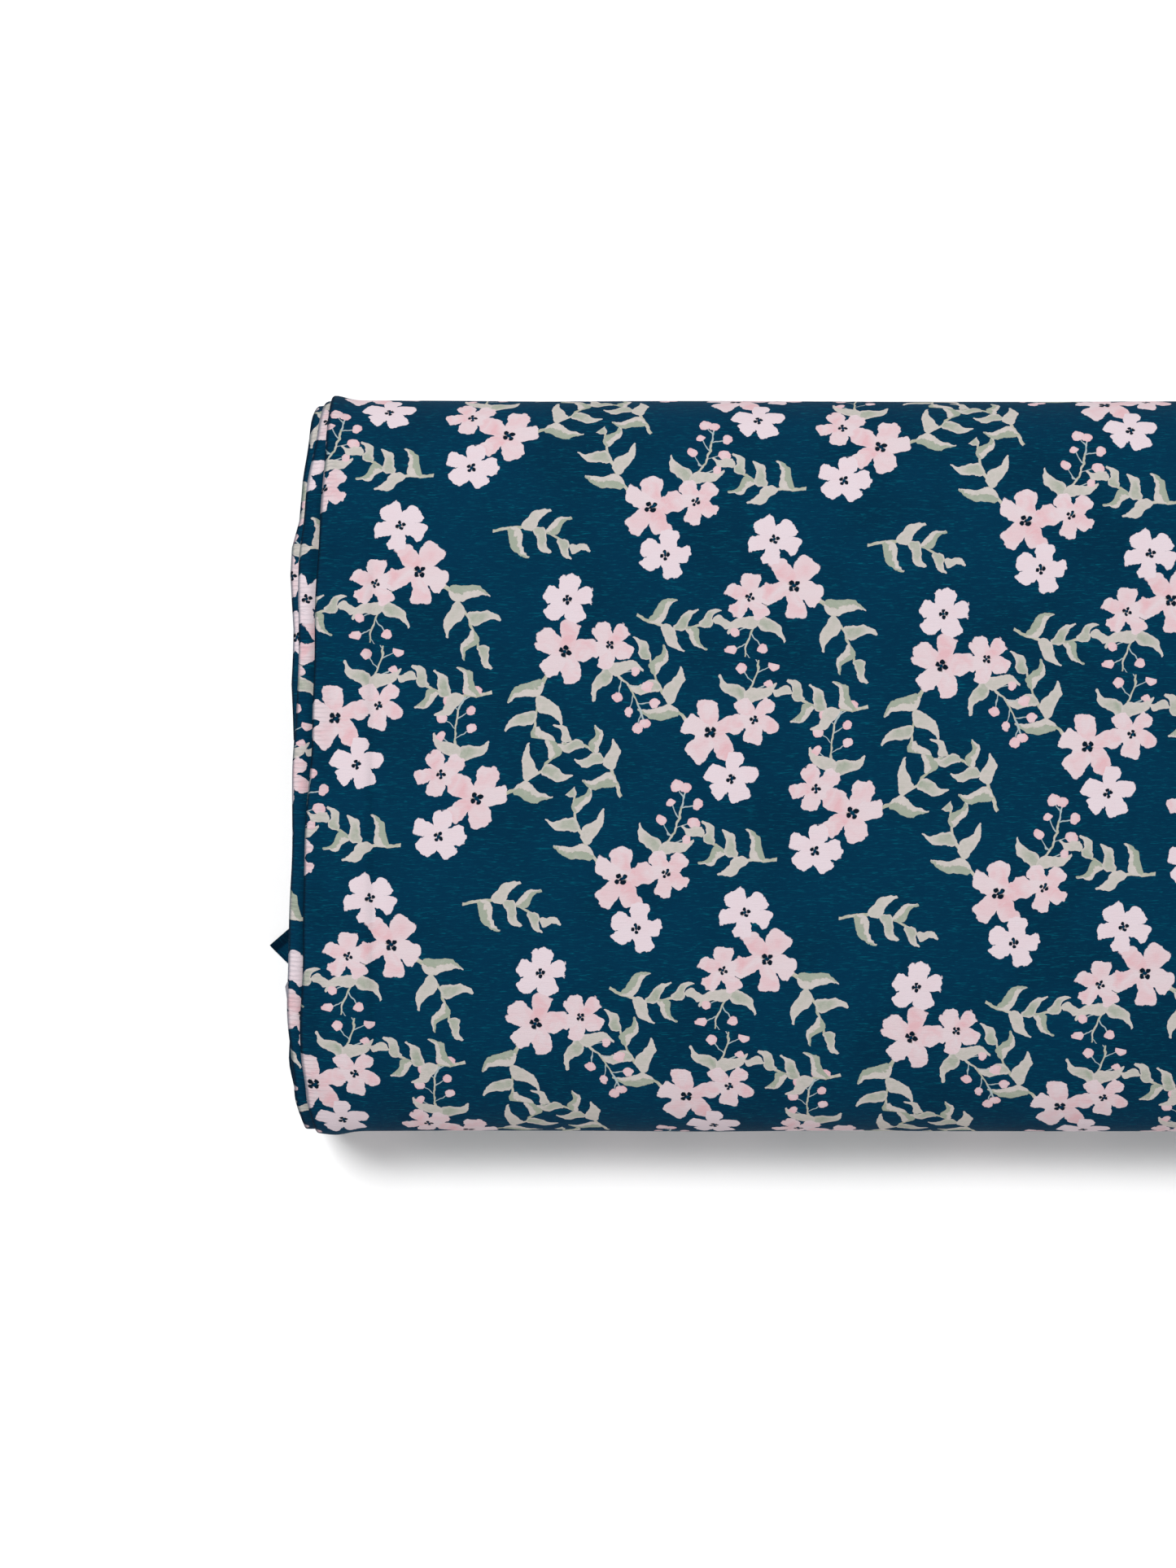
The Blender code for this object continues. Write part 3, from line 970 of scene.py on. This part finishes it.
def sprigs(net, spot, under, placements, middle, stems, leaves, berries):
    """One kind of sprig over what lies under it: stems, leaves in two washes, and berries.

    A stem is the set of points nearer to its line than its half width. A leaf's half width at a
    share t of its length is 2.75 t^0.62 (1 - t)^1.35 times half its given width, about a midrib
    that leaves its straight line by sin(6.9 t) times its bend.
    """
    settings = bpy.context.scene.bolt_print
    local = nearest_placement(net, spot, placements, middle)
    point = net.add("CombineXYZ", {0: local[0], 1: local[1], 2: local[2]})
    flat = shaken(net, local, point, 0.22, 2.2)
    wobble = net.noise(point, 0.75, 3.0, 0.6) - 0.5
    wash = net.noise(point, 0.28, 3.0, 0.62, 0.5)
    thick, fine = [], []
    for x0, y0, x1, y1, half_width in stems:
        half_length = math.hypot(x1 - x0, y1 - y0) / 2
        angle = math.atan2(y1 - y0, x1 - x0)
        u, v = in_frame(flat, ((x0 + x1) / 2, (y0 + y1) / 2), angle)
        group = thick if half_width > THICK_STEM else fine
        group.append(half_width - abs(v).most(abs(u) - half_length))
    thick = deepest(thick)
    every = thick.most(deepest(fine)) if fine else thick
    stem_mask = wobble.times_plus(0.26, every).rise(-0.06, 0.09)
    thick_colour = net.colour(linear(184, 178, 168), linear(158, 160, 142), wash.rise(0.35, 0.65))
    stem_colour = net.colour(linear(158, 170, 172), thick_colour, thick.rise(-0.10, 0.10))
    result = net.colour(under, stem_colour, stem_mask)
    green = opaque(settings.green)
    cream = opaque(settings.cream)
    for x0, y0, x1, y1, width, greenness, bend, parted in leaves:
        length = math.hypot(x1 - x0, y1 - y0)
        angle = math.atan2(y1 - y0, x1 - x0)
        along, across = in_frame(flat, (x0, y0), angle, (length, 1.0))
        inner = along.most(0.0).least(1.0)
        across = across - (inner * 6.9).math("SINE") * bend
        profile = (inner**0.62) * ((1.0 - inner) ** 1.35) * (2.75 * width / 2)
        past = (abs(along - 0.5) - 0.5).most(0.0) * (2.2 * length)
        depth = wobble.times_plus(0.75, profile + 0.34) - past - abs(across)
        inside = depth.rise(-0.06, 0.10)
        if parted:
            side = wobble.times_plus(2.4, across).rise(-0.22, 0.22)
            share = side * wash.times_plus(0.90, 0.42) + wobble.times_plus(0.7, 0.12)
        else:
            share = (0.62 - inner).rise(-0.30, 0.30) * depth.rise(0.0, width * 0.30)
            share = share * wash * (1.6 * greenness)
            share = wobble.times_plus(0.7, share + 0.14)
        painted = net.colour(cream, green, share.most(0.0).least(1.0))
        if parted:
            rib = (0.16 - abs(wobble.times_plus(2.4, across))).rise(-0.05, 0.10) * 0.35
            painted = net.colour(painted, linear(132, 138, 120), rib)
        result = net.colour(result, painted, inside)
    if not berries:
        return result
    berry = wobble.times_plus(0.9, deepest(round_depth(flat, *berry) for berry in berries))
    share = berry.rise(0.0, 1.3).times_plus(-0.45, wash.times_plus(1.6, -0.10)).most(0.0).least(1.0)
    berry_colour = net.colour(opaque(settings.blush), opaque(settings.pink), share)
    return net.colour(result, berry_colour, berry.rise(-0.06, 0.10))


def print_layers(settings):
    """The motifs' layers from the lowest: each a name, its maker and what the maker is given.

    A posy is a big, a small and a white blossom with a leafy and a berried sprig behind them. A
    looser sprig fills each space between the posies, half way across the lattice's cell.
    """
    side = settings.repeat / MM
    posies = list(satin_spots(side))
    to_space = (0.30 * side, 0.10 * side)
    between = []
    for x, y, turn, scale, mirror in posies:
        between.append((x + to_space[0], y + to_space[1], turn + 70.0, scale, -mirror))
    sprig_kinds = (
        ("leafy_sprigs", beside(posies, -5.0, 3.0, 24.0, 1.0), leafy_sprig(23.0, -2.0, 5, 13.0, 52.0)),
        ("berry_sprigs", beside(posies, 9.0, 5.0, -22.0, 1.0), berry_sprig(23.0, 2.4, 8, 4.6, 1.45)),
        ("loose_sprigs", beside(between, 0.0, -12.0, 0.0, 1.0), leafy_sprig(22.0, 3.0, 6, 11.0, 46.0)),
    )
    for name, placements, (stems, leaves, berries) in sprig_kinds:
        settled = {"placements": list(placements), "middle": (0.0, 12.0)}
        yield name, sprigs, {**settled, "stems": stems, "leaves": leaves, "berries": berries}
    blossom_kinds = (
        ("small_blossoms", (13.0, 1.5, 40.0, 6.8), petal_ring(0.40, 0.75), 0.075, settings.blush),
        ("big_blossoms", (0.0, 0.0, 10.0, 9.0), petal_ring(0.38, 0.95), 0.085, settings.blush),
        ("white_blossoms", (4.5, -14.5, 75.0, 7.2), petal_ring(0.42, 0.12), 0.080, settings.white),
    )
    for name, place, petals, dot, pale in blossom_kinds:
        placements = list(beside(posies, *place))
        settled = {"placements": placements, "petals": petals, "heart": heart_ring(0.13, dot)}
        yield name, blossoms, {**settled, "pale": opaque(pale)}


def print_place(net):
    """The print's own coordinates in mm: the cloth's places turned by the print's turn."""
    settings = bpy.context.scene.bolt_print
    place = net.add("UVMap", uv_map="cloth")
    sockets = {"Vector": place, "Rotation": (0.0, 0.0, settings.turn), "Scale": (1000.0, 1000.0, 0.0)}
    return place, net.add("Mapping", sockets, vector_type="POINT")


def thread_marks(net, point):
    """Fine marks of the brushed face: short streaks and longer crinkles along the bolt, and a grain."""
    streaks = net.noise(net.stretched(point, 0.06, (3.2, 0.34, 1.0)), 1.0, 3.0, 0.60, 0.9)
    crinkle = net.noise(net.stretched(point, -0.05, (6.0, 0.8, 1.0)), 1.0, 2.0, 0.55, 1.2)
    grain = net.noise(point, 2.4, 2.0, 0.5)
    return streaks, crinkle, grain


def cloth_face():
    """The printed face: teal ground, sprigs, blossoms, an unprinted selvage and a brushed nap, with
    painted shade round the folded edge and along its fine wrinkles.
    """
    settings = bpy.context.scene.bolt_print
    cloth = bpy.context.scene.bolt_cloth
    net = Net("printed_cloth_face")
    place, point = print_place(net)
    streaks, crinkle, grain = thread_marks(net, point)
    patches = net.noise(point, 0.035, 2.0, 0.5)
    ground = opaque(settings.ground)
    deep = opaque([channel * 0.76 for channel in settings.ground])
    base = net.colour(deep, ground, patches.rise(0.30, 0.62) * 0.6 + grain * 0.6)
    worn = streaks.rise(0.54, 0.74) * 0.50 + crinkle.rise(0.58, 0.78) * 0.26
    base = net.colour(base, linear(0, 100, 118), worn)
    x, y, _ = net.parts(point)
    for name, maker, settled in print_layers(settings):
        base = net.motif(name, functools.partial(maker, **settled), (x, y), base)
    across, along, _ = net.parts(place)
    # Painted shade at the folds: on a band round each folded edge, from about 2.7 mm under it to 0.7 mm
    # over it, the colour goes to a darkened copy of itself, standing in for the shadow at each fold's
    # edge.
    fold_shade_mask = (abs(across + 0.0010) - 0.0017).rise(0.0, 0.0009)
    shade = net.vector("MULTIPLY", base, (0.30, 0.36, 0.40))
    base = net.colour(shade, base, fold_shade_mask)
    # Fine wrinkles across the cloth near its fold: they raise the bump, and painted shade darkens the
    # colour along them.
    near_fold = (abs(across) / -0.0042).math("EXPONENT")
    fold_wrinkles = along.times_plus(4650.0, crinkle * 9.0).math("SINE") * near_fold
    base = net.colour(base, shade, fold_wrinkles.rise(0.05, 0.80) * 0.35)
    across = abs(across)
    edge = cloth.width / 2 - cloth.selvage
    bare = (across + (grain - 0.5) * 0.0006).rise(edge - 0.0002, edge + 0.0002)
    hole_x = (across - (edge + 0.0055)) / 0.0009
    hole_y = ((along / 0.0052).math("FRACT") - 0.5) * 6.0
    hole = 1.0 - hole_x.times_plus(hole_x, hole_y * hole_y)
    selvage = net.colour(linear(226, 228, 226), linear(150, 158, 160), hole.rise(0.0, 0.5))
    base = net.colour(base, selvage, bare)
    height = streaks * 0.9 + crinkle * 1.0 + grain * 0.5 + fold_wrinkles * 0.45 - hole.rise(0.0, 0.5) * bare
    rough = 0.78 + grain * 0.16
    return net.finish(base, rough, height, 0.00010, **{"Specular IOR Level": 0.04})


def cloth_back():
    """The unprinted back: the ground colour struck through palely, with a plainer, looser grain."""
    net = Net("cloth_back")
    _, point = print_place(net)
    streaks, crinkle, grain = thread_marks(net, point)
    struck = net.noise(point, 0.10, 2.0, 0.5)
    base = net.colour(linear(96, 132, 144), linear(150, 172, 178), struck.rise(0.3, 0.7))
    base = net.colour(base, linear(196, 208, 210), grain.rise(0.45, 0.8) * 0.5)
    height = streaks * 0.8 + crinkle * 0.4 + grain * 0.6
    return net.finish(base, 0.85 + grain * 0.1, height, 0.00025, **{"Specular IOR Level": 0.25})


# ---------------------------------------------------------------- board finishes


def card(name, pale, dark, ribs):
    """Grey-brown card: fibres and flecks, faint ribs from the board's layers, and a soft bump."""
    net = Net(name)
    point = net.add("TexCoord", output="Object")
    fibres = net.noise(net.stretched(point, 0.0, (0.012, 0.0012, 0.0012)), 1.0, 4.0, 0.65)
    flecks = net.noise(point, 900.0, 2.0, 0.5)
    blotch = net.noise(point, 45.0, 3.0, 0.55)
    base = net.colour(pale, dark, fibres.rise(0.30, 0.75) * 0.6 + blotch * 0.35)
    base = net.colour(base, linear(92, 72, 52), flecks.rise(0.66, 0.76) * 0.5)
    layers = net.parts(point)[2] / ribs
    layer = layers.math("FRACT") - 0.5
    line = (abs(layer) - 0.32).rise(0.0, 0.12)
    base = net.colour(base, dark, line * 0.30)
    height = fibres * 0.7 + flecks * 0.5 - line * 0.4
    return net.finish(base, 0.80 + fibres * 0.12, height, 0.00010, **{"Specular IOR Level": 0.3})


def tape():
    """Creped paper tape: fine ripples across its length."""
    net = Net("creped_tape")
    point = net.add("TexCoord", output="Object")
    ripple = net.noise(net.stretched(point, 0.0, (0.0006, 0.006, 0.01)), 1.0, 3.0, 0.6)
    base = net.colour(linear(226, 212, 176), linear(202, 184, 142), ripple)
    return net.finish(base, 0.45 + ripple * 0.2, ripple, 0.00008, **{"Specular IOR Level": 0.4})


def label_paper():
    """Smooth white label paper with a plain printed frame line and a faint tooth."""
    net = Net("label_paper")
    point = net.add("TexCoord", output="Object")
    low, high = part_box("end_label")
    middle = (low + high) / 2
    half = (high - low) / 2
    centred = net.vector("ABSOLUTE", net.vector("SUBTRACT", point, tuple(middle)))
    _, y, z = net.parts(centred)
    inset = (half.y - 0.0030 - y).least(half.z - 0.0012 - z)
    line = 1.0 - (abs(inset) / 0.00016).least(1.0)
    tooth = net.noise(point, 1400.0, 2.0, 0.5)
    base = net.colour(linear(238, 236, 230), linear(222, 219, 210), tooth)
    base = net.colour(base, linear(70, 78, 84), line.rise(0.2, 0.6))
    return net.finish(base, 0.55 + tooth * 0.15, tooth, 0.00003, **{"Specular IOR Level": 0.4})


# ---------------------------------------------------------------- operators


class BOLT_OT_turns(bpy.types.Operator):
    """Wind every turn of cloth, from the board outwards"""

    bl_idname = "bolt.wind_turns"
    bl_label = "Wind Turns"

    def execute(self, context):
        materials = [cloth_face(), cloth_back()]
        starts, centre_length = winding_starts()
        for turn, node in enumerate(TURN_NODES):
            fine = turn == TURNS - 1
            lines = turn_lines(FINE_STEPS if turn >= TURNS - 2 else PLAIN_STEPS)
            points, places = cloth_grid(lines, turn, starts[turn], centre_length, fine)
            piece = cloth_piece(f"wound_cloth_{turn + 1:02d}", points, places, materials)
            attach(piece, "bolt")
            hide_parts(node)
        return {"FINISHED"}


class BOLT_OT_tail(bpy.types.Operator):
    """Lay the loose end of the cloth under the bolt, with one corner turned out"""

    bl_idname = "bolt.lay_tail"
    bl_label = "Lay Loose End"

    def execute(self, context):
        materials = [bpy.data.materials["printed_cloth_face"], bpy.data.materials["cloth_back"]]
        starts, centre_length = winding_starts()
        lines = tail_lines(TAIL_STEPS)
        points, places = cloth_grid(lines, TURNS, starts[-1], centre_length, False)
        turn_out_corner(points)
        piece = cloth_piece("loose_end", points, places, materials)
        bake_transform(piece)
        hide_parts("cloth_tail")
        return {"FINISHED"}


def turn_out_corner(points):
    """Turns the loose end's corner outwards in its own plane: every point near the corner is
    turned about a place beside it, by an angle that fades with the distance from the corner."""
    corner = np.array([points[..., 0].min(), TAIL_LOW.y])
    pivot = corner + CORNER_PIVOT
    away = np.linalg.norm(points[..., :2] - corner, axis=-1)
    angle = math.radians(CORNER_TURN) * (1 - smooth(*CORNER_REACH, away))
    spoke = points[..., :2] - pivot
    points[..., 0] = pivot[0] + spoke[..., 0] * np.cos(angle) - spoke[..., 1] * np.sin(angle)
    points[..., 1] = pivot[1] + spoke[..., 0] * np.sin(angle) + spoke[..., 1] * np.cos(angle)


class BOLT_OT_board(bpy.types.Operator):
    """Give the board's own solids their card, tape and paper finishes"""

    bl_idname = "bolt.finish_board"
    bl_label = "Finish Board"

    def execute(self, context):
        pale = linear(190, 168, 138)
        dark = linear(150, 126, 98)
        sleeve = card("sleeve_card", pale, dark, 0.0005)
        insert = card("insert_card", linear(176, 150, 118), linear(136, 110, 82), 0.0004)
        finishes = {"core_sleeve": sleeve, "core_stiffener": insert, "end_label": label_paper()}
        finishes["core_end_cap_left"] = insert
        finishes["core_end_cap_right"] = insert
        taped = tape()
        for name in frame["nodes"]:
            if name.startswith("starter_tape"):
                finishes[name] = taped
        for name, material in finishes.items():
            for slot in frame["nodes"][name].material_slots:
                slot.material = material
        return {"FINISHED"}


class BOLT_OT_stage(bpy.types.Operator):
    """Set the pale floor, the soft light and the camera"""

    bl_idname = "bolt.set_stage"
    bl_label = "Set Stage"

    def execute(self, context):
        scene = context.scene
        settings = scene.bolt_stage
        add_floor(settings.floor_size)
        view_x = CAD_BOX[0][0] + VIEW_IN
        top = CAD_BOX[1][2]
        camera = bpy.data.cameras.new("view")
        camera.sensor_width = SENSOR
        long_side = settings.view_width * FRAME_SHAPE
        camera.lens = SENSOR * settings.view_height / long_side
        camera.clip_end = 20.0
        obj = bpy.data.objects.new("view", camera)
        obj.location = (view_x, VIEW_SIDE, top + settings.view_height)
        scene.collection.objects.link(obj)
        scene.camera = obj
        add_lights(np.array([view_x, VIEW_SIDE, 0.0]))
        scene.view_settings.view_transform = "Standard"
        scene.view_settings.look = "None"
        return {"FINISHED"}


def add_floor(size):
    """A plain pale floor under the bolt."""
    net = Net("floor_white")
    point = net.add("TexCoord", output="Object")
    tooth = net.noise(point, 60.0, 2.0, 0.5)
    base = net.colour((0.97, 0.97, 0.97, 1.0), (0.99, 0.99, 0.99, 1.0), tooth)
    net.finish(base, 0.9, tooth, 0.00002, **{"Specular IOR Level": 0.1})
    half = size / 2
    mesh = bpy.data.meshes.new("floor")
    outline = ((-half, -half), (half, -half), (half, half), (-half, half))
    mesh.from_pydata([(*corner, FLOOR_Z) for corner in outline], [], [(0, 1, 2, 3)])
    mesh.materials.append(net.material)
    floor = bpy.data.objects.new("floor", mesh)
    bpy.context.scene.collection.objects.link(floor)


def add_lights(under_camera):
    """A broad light high at the rear left, and an even sky."""
    world = bpy.data.worlds.new("even_sky")
    world.use_nodes = True
    sky = world.node_tree.nodes["Background"].inputs
    sky["Color"].default_value = (1.0, 1.0, 1.0, 1.0)
    sky["Strength"].default_value = SKY_STRENGTH
    bpy.context.scene.world = world
    light = bpy.data.lights.new("rear_left_light", "AREA")
    light.size = LIGHT_SIZE
    light.energy = LIGHT_POWER
    obj = bpy.data.objects.new("rear_left_light", light)
    obj.location = under_camera + LIGHT_PLACE
    toward = Vector(np.subtract(LIGHT_TARGET, LIGHT_PLACE))
    obj.rotation_euler = toward.to_track_quat("-Z", "Y").to_euler()
    bpy.context.scene.collection.objects.link(obj)


class BOLT_PT_panel(bpy.types.Panel):
    """The sidebar panel"""

    bl_idname = "BOLT_PT_panel"
    bl_label = "Fabric Bolt"
    bl_space_type = "VIEW_3D"
    bl_region_type = "UI"
    bl_category = "Fabric Bolt"

    def draw(self, context):
        layout = self.layout
        for group in (context.scene.bolt_cloth, context.scene.bolt_print, context.scene.bolt_stage):
            column = layout.column()
            for name in group.__annotations__:
                column.prop(group, name)
        for operator in OPERATORS:
            layout.operator(operator.bl_idname)


SETTINGS = {
    "bolt_cloth": BoltClothSettings,
    "bolt_print": BoltPrintSettings,
    "bolt_stage": BoltStageSettings,
}
OPERATORS = (BOLT_OT_turns, BOLT_OT_tail, BOLT_OT_board, BOLT_OT_stage)


def register():
    """Registers the settings, the operators and the panel."""
    for name, settings in SETTINGS.items():
        bpy.utils.register_class(settings)
        setattr(bpy.types.Scene, name, bpy.props.PointerProperty(type=settings))
    for operator in OPERATORS:
        bpy.utils.register_class(operator)
    bpy.utils.register_class(BOLT_PT_panel)


def unregister():
    """Takes all of them away again."""
    bpy.utils.unregister_class(BOLT_PT_panel)
    for operator in reversed(OPERATORS):
        bpy.utils.unregister_class(operator)
    for name, settings in SETTINGS.items():
        delattr(bpy.types.Scene, name)
        bpy.utils.unregister_class(settings)


def main():
    """Builds the bolt and its stage."""
    register()
    for obj in [obj for obj in bpy.data.objects if obj.name in ("Cube", "Light", "Camera")]:
        bpy.data.objects.remove(obj)
    bpy.ops.bolt.wind_turns()
    bpy.ops.bolt.lay_tail()
    bpy.ops.bolt.finish_board()
    bpy.ops.bolt.set_stage()


if __name__ == "__main__":
    main()
